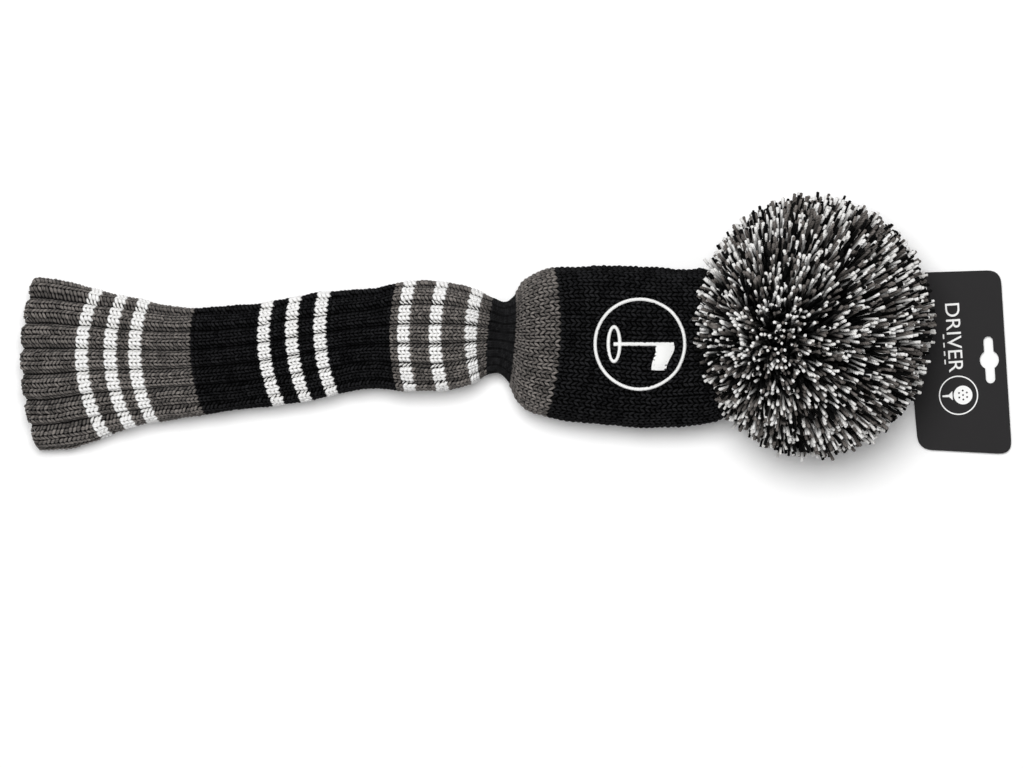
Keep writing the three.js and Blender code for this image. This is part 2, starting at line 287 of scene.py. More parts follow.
# Shape of the knitted tube in millimetres: x, centre y, half width, half height, bow, skew
tube = {
    "rows": [
        (-282, -22.5, 50.2, 12, 7.8, -1.4),
        (-268, -22.3, 48.9, 13, 9.6, -1.8),
        (-256, -21.8, 45.4, 14, 11.2, -2.2),
        (-240, -21, 40.2, 15.5, 9.5, -2.4),
        (-220, -20.8, 35.6, 16.5, 7, -2.6),
        (-188, -20.5, 30.8, 17, 4.2, -2.8),
        (-150, -17, 29.8, 17, 4.4, -3.2),
        (-122, -12.4, 30, 17, 4.5, -3),
        (-96, -8.3, 28.6, 17, 3.8, -1.5),
        (-82, -7, 28.6, 17.5, 3.5, -0.8),
        (-68, -6.3, 31, 20, 3.5, 0),
        (-46, -6.3, 31.2, 21.5, 4.2, 0),
        (-30, -6, 28, 19.5, 4, 0),
        (-17, -5.8, 22.6, 14.5, 1.5, 2),
        (-8, -6.7, 20.4, 12.5, 0, 1.9),
        (-1, -7.8, 25.4, 14, -1, 1.8),
        (6, -9.1, 34.5, 18.5, -3, 2),
        (20, -9.5, 41, 22, -5.4, 2.3),
        (45, -10.8, 44.3, 23.8, -3.4, 1),
        (75, -12.9, 45.6, 24.5, -1, 0),
        (104, -12.3, 44, 24, 0, 0),
        (143, -10.5, 44, 24, 0, 0),
    ],
    "wall": 3.0,
    "fabric": 1.35,      # how far below the loops the fabric behind them starts
    "upperRound": 2.3,   # how square the upper and lower halves of a section are
    "lowerRound": 2.8,
    "capStart": 104.0,   # the crown closes from here on
    "capLength": 38.4,
    "hem": -282.0,
    "collarEnd": -16.5,
    "neckEnd": -0.6,
    "bandEnd": 24.5,
    "crownEnd": 142.2,
}
rows = np.array(tube["rows"], float)
slopes = np.gradient(rows, axis=0)
slopes = slopes[:, 1:] / slopes[:, :1]
fineAngles = np.linspace(0, 2 * math.pi, 481)


def profileAt(x):
    # smooth curve through the rows, with the slope between a row's neighbours at each row
    at = rows[:, 0]
    i = np.clip(np.searchsorted(at, x) - 1, 0, len(at) - 2)
    wide = (at[i + 1] - at[i])[:, None]
    t = (x - at[i])[:, None] / wide
    first, second = rows[i, 1:], rows[i + 1, 1:]
    return (
        (1 + 2 * t) * (1 - t) ** 2 * first + t * (1 - t) ** 2 * wide * slopes[i]
        + t * t * (3 - 2 * t) * second + t * t * (t - 1) * wide * slopes[i + 1]
    )


def tubePoints(x, inset, shares, sink=0.0, capStart=None, capLength=None):
    # rows of points at the stations x, shares of the way round from +Y over the top
    capStart = capStart or tube["capStart"]
    capLength = capLength or tube["capLength"]
    x = np.asarray(x, float)
    inset = np.broadcast_to(np.asarray(inset, float), x.shape)
    y, halfWide, halfTall, bow, skew = profileAt(x).T
    past = np.maximum(0, x - capStart) / (capLength - inset)
    taper = np.sqrt(np.maximum(0, 1 - past ** 2))
    wide, tall = (halfWide - inset) * taper, (halfTall - inset) * taper

    def corner(angle, sunk):
        c, s = np.cos(angle), np.sin(angle)
        power = np.where(s > 0, 2 / tube["upperRound"], 2 / tube["lowerRound"])
        across = np.sign(c) * np.abs(c) ** power * (wide[:, None] - sunk * taper[:, None])
        up = np.sign(s) * np.abs(s) ** power * (tall[:, None] - sunk * taper[:, None])
        return across, up

    across, up = corner(np.broadcast_to(fineAngles, (len(x), len(fineAngles))), 0.0)
    steps = np.hypot(np.diff(across), np.diff(up))
    lengths = np.concatenate([np.zeros((len(x), 1)), np.cumsum(steps, axis=1)], axis=1)
    lengths /= lengths[:, -1:] + 1e-9
    turns = np.floor(shares)
    angles = np.array([np.interp(shares - turns, row, fineAngles) for row in lengths])
    across, up = corner(angles, sink)
    side = across / halfWide[:, None]
    return np.stack([
        x[:, None] + bow[:, None] * side ** 2 + skew[:, None] * side,
        y[:, None] + across,
        halfTall[:, None] + up,
    ], axis=-1)


def newObject(name, data):
    made = bpy.data.objects.new(name, data)
    bpy.context.collection.objects.link(made)
    return made


def meshObject(name, vertices, faces, uv=None, uvName="yarnUv", material=None, smooth=True):
    mesh = bpy.data.meshes.new(name)
    mesh.from_pydata([tuple(v) for v in vertices], [], [tuple(int(i) for i in f) for f in faces])
    if uv is not None:
        layer = mesh.uv_layers.new(name=uvName)
        order = np.zeros(len(mesh.loops), int)
        mesh.loops.foreach_get("vertex_index", order)
        layer.data.foreach_set("uv", np.asarray(uv, float)[order].ravel())
    if material:
        mesh.materials.append(material)
    if smooth:
        mesh.shade_smooth()
    return newObject(name, mesh)


def gridFaces(count, size, closed, joined):
    # quads between rows of points; closed rows wrap round, joined also ties the last row to the first
    faces = []
    for i in range(count if joined else count - 1):
        a, b = i * size, ((i + 1) % count) * size
        for k in range(size if closed else size - 1):
            n = (k + 1) % size
            faces.append((a + k, a + n, b + n, b + k))
    return faces


def tubeAlong(path, radii, sides=5):
    # closed tube along a path, with rounded ends
    path, radii = np.asarray(path, float), np.asarray(radii, float)
    ahead = np.gradient(path, axis=0)
    ahead /= np.linalg.norm(ahead, axis=1)[:, None]
    up = np.where(np.abs(ahead[:, 2:]) > 0.9, [[1.0, 0, 0]], [[0, 0, 1.0]])
    side = np.cross(ahead, up)
    side /= np.linalg.norm(side, axis=1)[:, None]
    lift = np.cross(side, ahead)
    turn = np.arange(sides) * 2 * math.pi / sides
    rings = path[:, None] + radii[:, None, None] * (
        np.cos(turn)[None, :, None] * side[:, None] + np.sin(turn)[None, :, None] * lift[:, None])
    ends = [path[0] - ahead[0] * radii[0] * 0.5, path[-1] + ahead[-1] * radii[-1] * 0.5]
    vertices = np.concatenate([rings.reshape(-1, 3), ends])
    faces = [(a, d, c, b) for a, b, c, d in gridFaces(len(path), sides, True, False)]
    first, last = len(path) * sides, (len(path) - 1) * sides
    for k in range(sides):
        n = (k + 1) % sides
        faces.append((first, k, n))
        faces.append((first + 1, last + n, last + k))
    along = np.linspace(0, 1, len(path))
    uv = [(k / sides, t) for t in along for k in range(sides)] + [(0.5, 0), (0.5, 1)]
    return vertices, faces, np.array(uv)


def joinedParts(parts):
    vertices, faces, uv, first = [], [], [], 0
    for v, f, u in parts:
        vertices.append(v)
        uv.append(u)
        faces += [tuple(i + first for i in face) for face in f]
        first += len(v)
    return np.concatenate(vertices), faces, np.concatenate(uv)


# Geometry Nodes building
class Growth:
    def __init__(self, name, inputs):
        self.tree = bpy.data.node_groups.new(name, "GeometryNodeTree")
        self.tree.interface.new_socket("Geometry", in_out="INPUT", socket_type="NodeSocketGeometry")
        for label, kind in inputs.items():
            self.tree.interface.new_socket(label, in_out="INPUT", socket_type="NodeSocket" + kind)
        self.tree.interface.new_socket("Geometry", in_out="OUTPUT", socket_type="NodeSocketGeometry")
        self.given = self.tree.nodes.new("NodeGroupInput").outputs
        self.result = self.tree.nodes.new("NodeGroupOutput").inputs[0]

    def node(self, kind, settings=None, values=(), out=0):
        made = self.tree.nodes.new(kind)
        for label, value in (settings or {}).items():
            setattr(made, label, value)
        pairs = values.items() if isinstance(values, dict) else enumerate(values)
        for key, value in pairs:
            if isinstance(value, bpy.types.NodeSocket):
                self.tree.links.new(value, made.inputs[key])
            elif value is not None:
                made.inputs[key].default_value = value
        return made.outputs[out]

    def maths(self, operation, *values):
        return self.node("ShaderNodeMath", {"operation": operation}, values)

    def vector(self, operation, *values):
        return self.node("ShaderNodeVectorMath", {"operation": operation}, values)

    def scaled(self, vector, factor):
        return self.node("ShaderNodeVectorMath", {"operation": "SCALE"}, {0: vector, "Scale": factor})

    def combined(self, x, y, z):
        return self.node("ShaderNodeCombineXYZ", {}, [x, y, z])

    def separated(self, vector):
        return self.node("ShaderNodeSeparateXYZ", {}, [vector]).node.outputs[:]

    def random(self, kind, low, high, seed, number=None):
        # the sockets of a Random Value node depend on its kind
        place = ("FLOAT_VECTOR", "FLOAT", "INT").index(kind)
        values = {2 * place: low, 2 * place + 1: high, "ID": number, "Seed": seed}
        return self.node("FunctionNodeRandomValue", {"data_type": kind}, values, place)

    def stored(self, name, kind):
        return self.node("GeometryNodeInputNamedAttribute", {"data_type": kind}, {"Name": name})

    def realised(self, instances, seed):
        # each instance gets a tone of its own first
        tone = self.random("FLOAT", 0.0, 1.0, seed)
        toned = self.node("GeometryNodeStoreNamedAttribute", {"data_type": "FLOAT", "domain": "INSTANCE"},
                          {"Geometry": instances, "Name": "yarnTone", "Value": tone})
        return self.node("GeometryNodeRealizeInstances", {}, [toned])

    def moved(self, geometry, position):
        return self.node("GeometryNodeSetPosition", {}, {"Geometry": geometry, "Position": position})

    def dressed(self, geometry, material):
        smooth = self.node("GeometryNodeSetShadeSmooth", {}, {"Geometry": geometry})
        return self.node("GeometryNodeSetMaterial", {}, {"Geometry": smooth, "Material": material})

    def both(self, first, second):
        joined = self.node("GeometryNodeJoinGeometry", {}, [first])
        self.tree.links.new(second, joined.node.inputs[0])
        return joined

    def finish(self, geometry):
        self.tree.links.new(geometry, self.result)

    def grow(self, name, host, **inputs):
        # runs the tree on the host object and keeps the outcome as a plain mesh
        modifier = host.modifiers.new("growth", "NODES")
        modifier.node_group = self.tree
        sockets = {s.name: s.identifier for s in self.tree.interface.items_tree if s.in_out == "INPUT"}
        for label, value in inputs.items():
            modifier[sockets[label.replace("_", " ")]] = value
        graph = bpy.context.evaluated_depsgraph_get()
        mesh = bpy.data.meshes.new_from_object(host.evaluated_get(graph))
        host.modifiers.remove(modifier)
        bpy.data.objects.remove(host)
        mesh.name = name
        return newObject(name, mesh)


# Slackness of one loop: how much it may shrink or grow along each axis, and turn, for each unit of unevenness
slack = {"size": (-0.08, -0.06, -0.16), "turn": 0.22}


def knitTree():
    # one stitch for each wale and course, laid out flat and then wrapped onto the surface
    g = Growth("knitting", {
        "Surface": "Object", "Knit stitch": "Object", "Purl stitch": "Object", "Wales": "Int",
        "Courses": "Int", "Rib": "Int", "Unevenness": "Float", "Seed": "Int", "Yarn": "Material",
    })
    given = g.given
    index = g.node("GeometryNodeInputIndex")
    wale = g.maths("FLOORED_MODULO", index, given["Wales"])
    course = g.maths("FLOOR", g.maths("DIVIDE", index, given["Wales"]))
    flat = g.combined(g.maths("ADD", wale, 0.5), g.maths("ADD", course, 0.5), 0.0)
    count = g.maths("MULTIPLY", given["Wales"], given["Courses"])
    points = g.node("GeometryNodePoints", {}, {"Count": count, "Position": flat})
    column = g.maths("FLOOR", g.separated(g.node("GeometryNodeInputPosition"))[0])
    last = g.maths("SUBTRACT", given["Rib"], 1.0)
    purl = g.maths("COMPARE", g.maths("FLOORED_MODULO", column, given["Rib"]), last, 0.1)
    knit = g.maths("SUBTRACT", 1.0, purl)
    uneven = given["Unevenness"]
    turn = g.random("FLOAT_VECTOR", (0, 0, 0), (0, 0, 1), given["Seed"], index)
    turn = g.vector("MULTIPLY", g.vector("SUBTRACT", turn, (0, 0, 0.5)),
                    g.combined(0.0, 0.0, g.maths("MULTIPLY", uneven, slack["turn"])))
    spin = g.node("FunctionNodeEulerToRotation", {}, [turn])
    more = g.maths("ADD", given["Seed"], 1.0)
    low = g.vector("MULTIPLY", slack["size"], g.combined(uneven, uneven, uneven))
    small, large = g.vector("ADD", (1, 1, 1), low), g.vector("SUBTRACT", (1, 1, 1), low)
    size = g.random("FLOAT_VECTOR", small, large, more, index)
    loops = []
    for label, chosen in (("Knit stitch", knit), ("Purl stitch", purl)):
        shape = g.node("GeometryNodeObjectInfo", {}, [given[label]], "Geometry")
        loops.append(g.node("GeometryNodeInstanceOnPoints", {}, {
            "Points": points, "Selection": chosen, "Instance": shape, "Rotation": spin, "Scale": size}))
    real = g.realised(g.both(*loops), more)
    target = g.node("GeometryNodeObjectInfo", {}, [given["Surface"]], "Geometry")
    x, y, height = g.separated(g.node("GeometryNodeInputPosition"))
    uv = g.combined(g.maths("DIVIDE", x, given["Wales"]), g.maths("DIVIDE", y, given["Courses"]), 0.0)
    knitMap = g.stored("knitMap", "FLOAT_VECTOR")
    place, normal = (
        g.node("GeometryNodeSampleUVSurface", {"data_type": "FLOAT_VECTOR"}, {
            "Mesh": target, "Value": g.node(kind), "UV Map": knitMap, "Sample UV": uv})
        for kind in ("GeometryNodeInputPosition", "GeometryNodeInputNormal"))
    wrapped = g.moved(real, g.vector("ADD", place, g.scaled(normal, height)))
    g.finish(g.both(given["Geometry"], g.dressed(wrapped, given["Yarn"])))
    return g


knitting = knitTree()

# Knit: wales round the tube, courses along it; sizes in millimetres. The last wale of each rib is a purl one.
sleeve = {
    "wales": 42, "course": 2.28, "wale": 4.4, "rib": 3, "ribDepth": 2.3, "pairDip": 0.3,
    "yarn": 0.78, "sunk": 0.75, "edge": 1.45, "turnedIn": 5, "loose": 1.2,
    "stripeYarn": 1.0,  # the white yarn is plumper on the ribs and drawn thin between them
    "channelYarn": {"cuff": 0.8, "mid": 0.7, "top": 0.52},
}
head = {
    "wales": 46, "course": 3.0, "wale": 4.6, "rib": 500, "ribDepth": 0.0, "pairDip": 0.0,
    "yarn": 0.84, "sunk": 0.8, "loose": 1.4,
    "puckersFrom": 40, "puckersOver": 70, "puckers": ((0.45, 0.02, 17, 0), (0.3, 0, 11, 1.3)),
}
neck = {
    "wales": 66, "course": 1.45, "wale": 2.0, "rib": 3, "ribDepth": 0.9, "pairDip": 0.15,
    "yarn": 0.48, "sunk": 0.5, "loose": 0.6,
}
unseen = []  # surfaces and stitches that only shape other pieces


# Loops: where a leg starts and ends across its wale and along its course, how high it arches, how plump it is
# and how much light reaches it, as painted shade in its colour. A purl loop is the same loop from the back,
# with its legs open the other way.
loopShapes = {
    "knit": {"across": (0.05, 0.45), "along": (-0.42, 0.86), "arch": 0.95, "plump": 0.36, "lit": 1.0},
    "purl": {"across": (0.5, 0.1), "along": (-0.5, 0.7), "arch": 0.75, "plump": 0.3, "lit": 0.8},
    "rings": 6, "slim": 0.62, "sunk": 0.45,
}


def makeStitch(name, kind, knit, thick):
    # two legs lying flat, in units of one wale, one course, and metres of height
    shape = loopShapes[kind]
    (near, far), (low, high) = shape["across"], shape["along"]
    t = np.linspace(0, 1, loopShapes["rings"])
    legs = []
    for side in (-1, 1):
        across = side * knit["wale"] * (near + (far - near) * t ** 0.9)
        along = knit["course"] * (low + (high - low) * t)
        height = thick * (shape["arch"] * np.sin(math.pi * t ** 0.85) - loopShapes["sunk"])
        plump = shape["plump"] * np.sin(math.pi * np.clip(t * 0.9 + 0.08, 0, 1))
        path = np.stack([across, along, height], axis=-1)
        legs.append(tubeAlong(path, thick * (loopShapes["slim"] + plump)))
    vertices, faces, uv = joinedParts(legs)
    made = meshObject(name, vertices * (1 / knit["wale"], 1 / knit["course"], mm), faces, uv)
    # loop heights, scaled down by how lit the loop is, feed the painted shade in the gaps
    height = vertices[:, 2]
    layer = made.data.attributes.new("yarnHeight", "FLOAT", "POINT")
    layer.data.foreach_set("value", shape["lit"] * (height - height.min()) / (height.max() - height.min()))
    unseen.append(made)
    return made


def stitchPair(part, knit, onRib=None, inChannel=None):
    return (makeStitch(part + "_knit_stitch", "knit", knit, onRib or knit["yarn"]),
            makeStitch(part + "_purl_stitch", "purl", knit, inChannel or knit["yarn"]))


def easing(t):
    t = np.clip(t, 0, 1)
    return t * t * (3 - 2 * t)


# Widths in wales of the bank of a channel and of the dip between two knit wales
ribShape = {"bank": 0.95, "dip": 0.28}


def ribSink(shares, knit):
    # how far each wale lies below the crest of its rib
    place = (shares * knit["wales"]) % knit["rib"]
    channel = 1 - easing(np.abs(place - (knit["rib"] - 0.5)) / ribShape["bank"])
    channel = np.maximum(channel, 1 - easing((place + 0.5) / ribShape["bank"]))
    dip = np.exp(-((place - (knit["rib"] - 1) / 2) / ribShape["dip"]) ** 2)
    return knit["ribDepth"] * channel + knit["pairDip"] * dip


# Slack in the fabric: long soft swellings, each with its height, turn along, turns around and start
swellings = ((0.32, 0.11, 3, 0.7), (0.25, 0.052, -2, 0), (0.16, 0.23, 5, 2.0), (0.12, 0.31, -7, 0.4))


def waves(x, shares, kinds):
    around = 2 * math.pi * shares[None]
    return sum(height * np.sin(along * x[:, None] + turns * around + start)
               for height, along, turns, start in kinds)


def lumps(x, shares):
    return waves(x, shares, swellings)


def stationsAlong(start, end, course):
    # x of each course, at equal lengths of fabric, measured along lines all round
    lines, samples = 8, 400
    xs = np.linspace(start, end, samples)
    points = tubePoints(xs, 0.0, np.arange(lines) / lines)
    steps = np.linalg.norm(np.diff(points, axis=0), axis=2).mean(axis=1)
    lengths = np.concatenate([[0], np.cumsum(steps)])
    count = max(1, round(lengths[-1] / course))
    return np.interp(np.linspace(0, lengths[-1], count + 1), lengths, xs)


def courseTable(start, end, course):
    # smooth map from course number to x, running on past both ends
    xs = stationsAlong(start, end, course)
    numbers = np.arange(len(xs))

    def at(number):
        number = np.asarray(number, float)
        inside = np.interp(number, numbers, xs)
        before = np.minimum(number, 0) * (xs[1] - xs[0])
        after = np.maximum(number - numbers[-1], 0) * (xs[-1] - xs[-2])
        return inside + before + after

    return at, len(xs) - 1


# Surface under the stitches: how far it runs past them, its rows per course and wale, and how a hem draws in
ground = {
    "past": 1.5, "perCourse": 2, "perWale": 4, "crownGap": 0.4, "lowest": 1.5, "drawn": 1.1, "drawnOver": 2.5,
}


def knitSurface(name, knit, at, first, last, hemmed=False, puckers=None):
    # the surface that the stitches of courses first to last lie on
    courses, wales, past = last - first, knit["wales"], ground["past"]
    rowCount = round(ground["perCourse"] * (courses + 2 * past)) + 1
    numbers = np.linspace(first - past, last + past, rowCount)
    shares = np.linspace(-past, wales + past, round(ground["perWale"] * (wales + 2 * past)) + 1) / wales
    x = at(numbers)
    inset = np.full(len(x), knit["sunk"])
    sink = np.broadcast_to(ribSink(shares, knit), (len(x), len(shares))).copy()
    outer = np.ones(len(x))
    if hemmed:
        back = np.maximum(0, -numbers) * knit["course"]
        edge = knit["edge"]
        turn = np.minimum(back / edge, math.pi)
        x = np.where(numbers < 0, tube["hem"] + edge - edge * np.sin(turn), x)
        x += np.maximum(0, back - math.pi * edge)
        inset += edge * (1 - np.cos(turn))
        outer = np.cos(turn) * 0.5 + 0.5
    sink = sink * outer[:, None] - lumps(x, shares) * outer[:, None]
    if puckers is not None:
        sink -= puckers(x, shares)
    points = tubePoints(np.minimum(x, tube["crownEnd"] - ground["crownGap"]), inset, shares, sink)
    points[..., 2] = np.maximum(points[..., 2], knit["yarn"] * ground["lowest"])  # it lies flat below
    if hemmed:
        pulled = ribSink(shares, knit)[None] * np.exp(-np.abs(numbers) / ground["drawnOver"])[:, None]
        points[..., 0] += pulled * ground["drawn"]
    uv = [(s, (n - first) / courses) for n in numbers for s in shares]
    faces = gridFaces(len(numbers), len(shares), False, False)
    made = meshObject(name, points.reshape(-1, 3) * mm, faces, uv, "knitMap")
    unseen.append(made)
    return made


def ringShell(name, x, top, low, reliefs, material, points=84, cap=None):
    # closed ring between two insets, each side with its own relief
    shares = np.arange(points) / points
    start, length = cap or (tube["capStart"], tube["capLength"])
    sides = []
    for inset, relief in zip((top, low), reliefs):
        moved = np.where(x > start, start + (x - start) * (length - inset) / length, x)
        sides.append(tubePoints(moved, inset, shares, relief(x, shares), start, length))
    rings = np.concatenate([sides[0], sides[1][::-1]])
    uv = [(k / points * 40, i) for i in range(len(rings)) for k in range(points)]  # 40 yarns round
    faces = gridFaces(len(rings), points, True, True)
    return meshObject(name, rings.reshape(-1, 3) * mm, faces, uv, material=material)


def fabricWall(name, x, knit, material):
    # the fabric behind the stitches, in a darker copy of its yarn as painted shade
    def ribbed(x, shares):
        return ribSink(shares, knit)[None] * 0.9 - lumps(x, shares)

    def plain(x, shares):
        return -lumps(x, shares)

    return ringShell(name, x, tube["fabric"], tube["wall"], (ribbed, plain), material)


yarns = {
    "grey": (greyYarn, greyBackShaded), "black": (blackYarn, blackBackShaded), "white": (whiteYarn, whiteBackShaded),
    "neck": (neckYarn, blackBackShaded),
}


def knitPiece(name, knit, stitches, at, first, last, tone, seed, hemmed=False, puckers=None, starts=None):
    material, back = yarns[tone]
    begin = starts if starts is not None else first
    surface = knitSurface(name + "_surface", knit, at, begin, last, hemmed, puckers)
    lowest = tube["hem"] + 2.0 if hemmed else at(first)
    x = np.linspace(lowest, min(at(last), tube["crownEnd"] - 0.2), max(2, last - first) + 1)
    wall = fabricWall(name + "_wall", x, knit, back)
    return knitting.grow(
        name, wall, Surface=surface, Knit_stitch=stitches[0], Purl_stitch=stitches[1],
        Wales=knit["wales"], Courses=last - begin, Rib=knit["rib"], Unevenness=knit["loose"],
        Seed=seed, Yarn=material)


# Sleeve: the colour bands from hem to neck, and where each ends along the tube
bandEnds = {
    "hem_cuff_grey": -251.1, "cuff_stripe_1_white": -244, "cuff_band_1_grey": -234.3,
    "cuff_stripe_2_white": -227.7, "cuff_band_2_grey": -218.9, "cuff_stripe_3_white": -212.3,
    "lower_sleeve_grey": -183.8, "lower_sleeve_black": -146.5, "mid_stripe_1_white": -140.2,
    "mid_band_1_black": -130.5, "mid_stripe_2_white": -124.3, "mid_band_2_black": -114.6,
    "mid_stripe_3_white": -107.7, "upper_sleeve_black": -71.2, "upper_sleeve_grey": -67.3,
    "top_stripe_1_white": -59.9, "top_band_1_grey": -48.5, "top_stripe_2_white": -41.6,
    "top_band_2_grey": -30.2, "top_stripe_3_white": -22.8, "collar_grey": -16.5,
}
bodyOf = {node: body for body, nodes in frame["record"]["behaviour"]["bodies"].items() for node in nodes}


def makeSleeve():
    stitches = stitchPair("sleeve", sleeve)
    stripeStitches = {part: stitchPair(part + "_stripe", sleeve, sleeve["stripeYarn"], thin)
                      for part, thin in sleeve["channelYarn"].items()}
    at, count = courseTable(tube["hem"] + sleeve["edge"], tube["collarEnd"], sleeve["course"])
    everyCourse = at(np.arange(count + 1))
    first = 0
    for number, (name, end) in enumerate(bandEnds.items()):
        last = int(np.argmin(np.abs(everyCourse - end)))
        if name.endswith("white"):
            last = first + 3
        hemmed = name == "hem_cuff_grey"
        tone = name.split("_")[-1]
        used = stripeStitches[name.split("_")[0]] if tone == "white" else stitches
        piece = knitPiece(name + "_knit", sleeve, used, at, first, last, tone, 11 * number + 3,
                          hemmed=hemmed, starts=-sleeve["turnedIn"] if hemmed else None)
        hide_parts(name)
        if name == "lower_sleeve_black":
            near, far = at(last) * mm, at(first) * mm
            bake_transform(piece)
        else:
            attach(piece, bodyOf[name])
        first = last
    print("sleeve knitted")


makeSleeve()


# Neck: fine rib with an elastic band inside, in two halves
elastic = {"from": -13.5, "to": -3.0, "outer": 3.8, "inner": 5.0, "rows": 12, "strands": 44, "relief": 0.16,
           "bind": 0.25, "binding": 5.2}


def elasticRelief(x, shares):
    # covered rubber strands side by side, crossed by the threads that hold them
    strands = elastic["relief"] * np.abs(np.sin(math.pi * elastic["strands"] * shares))
    bound = 1 - elastic["bind"] + elastic["bind"] * np.cos(elastic["binding"] * x)
    return elastic["relief"] - strands[None] * bound[:, None]


def makeNeck():
    stitches = stitchPair("neck", neck)
    at, count = courseTable(tube["collarEnd"], tube["neckEnd"], neck["course"])
    middle = count // 2
    halves = (("neck_rib_lower", 0, middle, "neck", "sleeve_upper", middle, 0),
              ("neck_rib_upper", middle, count, "head", "neck", count, middle))
    for seed, (name, first, last, a, b, start, end) in enumerate(halves):
        piece = knitPiece(name, neck, stitches, at, first, last, "neck", 500 + seed)
        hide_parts("neck_rib_black")
        at(start) * mm
        at(end) * mm
        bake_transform(piece)
        near, far = (elastic["from"], at(middle)) if seed == 0 else (at(middle), elastic["to"])
        x = np.linspace(near, far, elastic["rows"])
        band = ringShell(name + "_elastic", x, elastic["outer"], elastic["inner"], (elasticRelief,) * 2,
                         elasticFinish, elastic["strands"] * 6)
        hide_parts("neck_elastic")
        at(start) * mm
        at(end) * mm
        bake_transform(band)
    print("neck knitted")


makeNeck()


# Head: stockinette, gathered at the crown
def headPuckers(x, shares):
    # lengthwise folds where the crown draws the fabric in
    strength = easing((x - head["puckersFrom"]) / head["puckersOver"])[:, None]
    return strength * waves(x, shares, head["puckers"])


def makeHead():
    stitches = stitchPair("head", head)
    bandAt, bandCount = courseTable(tube["neckEnd"], tube["bandEnd"], head["course"])
    piece = knitPiece("head_band_grey_knit", head, stitches, bandAt, 0, bandCount, "grey", 701)
    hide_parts("head_band_grey")
    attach(piece, "head")
    at, count = courseTable(tube["bandEnd"], tube["crownEnd"] - 3.0, head["course"])
    middle = count // 2
    for name, first, last in (("head_body_front", 0, middle), ("head_body_crown", middle, count)):
        piece = knitPiece(name, head, stitches, at, first, last, "black", 702 + first, puckers=headPuckers)
        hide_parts("head_body_black")
        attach(piece, "head")
    print("head knitted")
    return knitSurface("badge_ground", head, at, 0, count, puckers=headPuckers)


badgeGround = makeHead()


# Lining: a fleece pocket for the club head
lining = {
    "from": 8.0, "to": 116.8, "outer": 3.6, "inner": 5.6, "cap": (84.0, 33.0), "rows": 90, "around": 160,
    "nap": 0.2, "deepest": 0.5, "hem": 0.5, "hemOver": 1.2, "seed": 8,
}


def makeLining():
    rng = np.random.default_rng(lining["seed"])

    def fleecy(x, shares):
        # short tufts, with a rounded hem at the mouth
        nap = rng.normal(0, lining["nap"], (len(x), len(shares))).clip(-lining["deepest"], lining["deepest"])
        return nap + lining["hem"] * hemmed(x)

    def fleecyInside(x, shares):
        return fleecy(x, shares) - 2 * lining["hem"] * hemmed(x)

    def hemmed(x):
        return np.exp(-(x - lining["from"]) / lining["hemOver"])[:, None]

    x = np.linspace(lining["from"], lining["to"], lining["rows"])
    piece = ringShell("fleece_pocket", x, lining["outer"], lining["inner"], (fleecy, fleecyInside),
                      fleeceFinish, lining["around"], lining["cap"])
    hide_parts("head_lining")
    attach(piece, "head")
    print("lining made")


makeLining()


# Badge: satin stitches laid side by side over the knit; across and up in millimetres from its middle
badge = {
    "x": 69.6, "y": -11.0, "outer": 25.9, "line": 1.5, "hole": (0, -14.5, 10.5, 4.0, 1.6),
    "pin": (-14.5, 19.0, 1.8), "flag": (0.9, 14.4),  # from and to, and the pin's width
    "flagTop": ((0, 19), (5, 20.5), (9, 14.5), (15.5, 14.5)),
    "flagFoot": ((0, 8), (5, 10.5), (9, 6), (14.5, 6.5)),
    "apart": 0.4, "thread": 0.25, "lift": 0.75, "arch": 0.75,
    "above": 100.0,  # where the threads start before they are laid down on the knit
}


def threadTree():
    # edges become threads that lie on the surface below them and bulge in the middle
    g = Growth("satin stitching", {
        "Surface": "Object", "Thickness": "Float", "Lift": "Float", "Arch": "Float", "Thread": "Material"})
    given = g.given
    lines = g.node("GeometryNodeMeshToCurve", {}, [given["Geometry"]])
    even = g.node("GeometryNodeResampleCurve", {}, {"Curve": lines, "Count": 7})
    target = g.node("GeometryNodeObjectInfo", {}, [given["Surface"]], "Geometry")
    hit = g.node("GeometryNodeRaycast", {}, {
        "Target Geometry": target, "Ray Direction": (0, 0, -1), "Ray Length": 1.0}, "Hit Position")
    share = g.node("GeometryNodeSplineParameter")
    bulge = g.maths("SINE", g.maths("MULTIPLY", share, math.pi))
    height = g.maths("MULTIPLY_ADD", bulge, given["Arch"], given["Lift"])
    lift = g.scaled(hit.node.outputs["Hit Normal"], height)
    laid = g.moved(even, g.vector("ADD", hit, lift))
    ring = g.node("GeometryNodeCurvePrimitiveCircle", {}, {"Resolution": 6, "Radius": given["Thickness"]})
    threads = g.node("GeometryNodeCurveToMesh", {}, {"Curve": laid, "Profile Curve": ring, "Fill Caps": True})
    real = g.node("GeometryNodeRealizeInstances", {}, [threads])
    g.finish(g.dressed(real, given["Thread"]))
    return g


def satinRing(cx, cy, halfWide, halfTall, line):
    # threads from the outer to the inner edge of an oval ring
    fine = np.linspace(0, 2 * math.pi, 400)
    steps = np.hypot(np.diff(halfWide * np.cos(fine)), np.diff(halfTall * np.sin(fine)))
    lengths = np.concatenate([[0], np.cumsum(steps)])
    count = round(lengths[-1] / badge["apart"])
    turn = np.interp(np.arange(count) / count * lengths[-1], lengths, fine)
    way = np.stack([np.cos(turn), np.sin(turn)], axis=-1)
    middle = np.array([cx, cy])
    return middle + way * (halfWide, halfTall), middle + way * (halfWide - line, halfTall - line)


def bezier(corners, t):
    a, b, c, d = (np.array(corner, float) for corner in corners)
    t = t[:, None]
    return (1 - t) ** 3 * a + 3 * (1 - t) ** 2 * t * b + 3 * (1 - t) * t * t * c + t ** 3 * d


